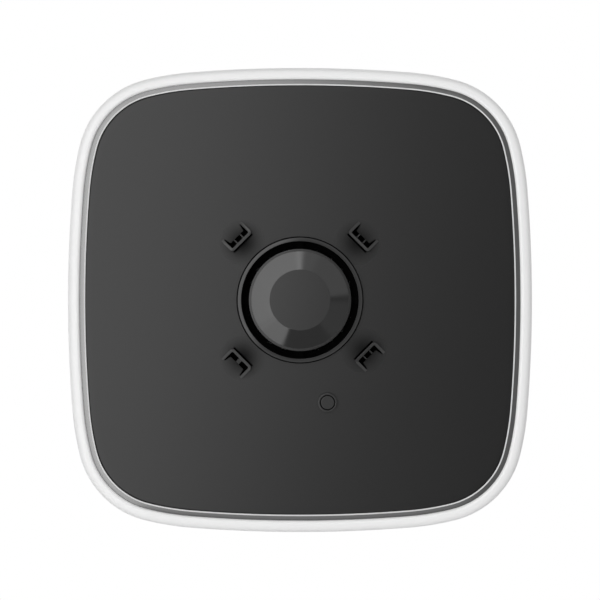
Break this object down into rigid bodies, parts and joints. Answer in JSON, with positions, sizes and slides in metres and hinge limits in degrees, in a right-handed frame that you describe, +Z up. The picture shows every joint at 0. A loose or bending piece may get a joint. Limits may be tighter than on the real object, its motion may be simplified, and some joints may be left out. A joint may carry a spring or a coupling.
{
  "type": "outdoor alarm siren",
  "caption": "Wireless outdoor alarm siren: a round-cornered square housing with a ring of light, a dark crowned face and a central horn, hung on a wall bracket.",
  "frame": {"origin": "middle of the wall bracket, on its back face against the wall", "axes": "+Z up, +X to the right as seen from the front, -Y out of the wall towards the viewer"},
  "size_m": [0.2, 0.051, 0.2],
  "materials": {
    "white_housing": "fine matte ASA",
    "grey_plastic": "matte moulded plastic",
    "light_guide": "smoky clear plastic, satin",
    "dark_face": "satin graphite plastic",
    "dark_horn": "semi-gloss graphite plastic",
    "soft_seal": "soft black silicone",
    "black_plastic": "black plastic",
    "membrane": "thin porous film",
    "button": "pale gloss plastic",
    "circuit_board": "solder mask",
    "lamp": "moulded lamp bodies",
    "steel": "bright plated steel",
    "brass": "rolled brass",
    "copper": "enamelled copper",
    "terminal": "moulded plastic",
    "capacitor": "sleeved metal can",
    "battery": "plain sleeve"
  },
  "bodies": {
    "bracket": {"mounting_plate": "grey_plastic"},
    "siren": {"antenna": "copper", "battery_1": "battery", "battery_2": "battery", "battery_3": "battery", "battery_4": "battery", "battery_contacts": "steel", "battery_door": "grey_plastic", "battery_holder": "grey_plastic", "board_screws": "steel", "cable_grommet": "soft_seal", "capacitors": "capacitor", "corner_screws": "steel", "door_screws": "steel", "door_seal": "soft_seal", "front_housing": "white_housing", "front_panel": "dark_face", "horn_chamber": "grey_plastic", "horn_cone": "dark_horn", "horn_ring": "dark_horn", "housing_seal": "soft_seal", "lamp_board": "circuit_board", "lamp_board_screws": "steel", "lamps": "lamp", "light_guide": "light_guide", "lock_screw": "steel", "main_board": "circuit_board", "panel_screws": "steel", "piezo_disc": "brass", "piezo_seat": "soft_seal", "power_coil": "copper", "power_switch": "black_plastic", "processor": "black_plastic", "radio_module": "steel", "rear_housing": "white_housing", "sound_grille": "dark_horn", "tamper_spring": "steel", "tamper_switch": "black_plastic", "terminal_block": "terminal", "terminal_screws": "steel", "vent_membrane": "membrane", "vent_plug": "black_plastic"},
    "tamper_plunger": {"tamper_plunger": "black_plastic"},
    "power_button": {"power_button": "button"}
  },
  "joints": [
    {"name": "hang_slide", "type": "slide", "parent": "bracket", "child": "siren", "axis": [0, 0, 1], "range_m": [0, 0.012]},
    {"name": "tamper_press", "type": "slide", "parent": "siren", "child": "tamper_plunger", "axis": [0, 1, 0], "range_m": [0, 0.0015], "deforming": ["tamper_spring"]},
    {"name": "power_press", "type": "slide", "parent": "siren", "child": "power_button", "axis": [0, -1, 0], "range_m": [0, 0.0006], "stiffness_N_per_m": 2000, "springref_m": -0.0005}
  ],
  "couplings": [
    {"joint": "tamper_press", "follows": "hang_slide", "ratio": 0.125}
  ]
}
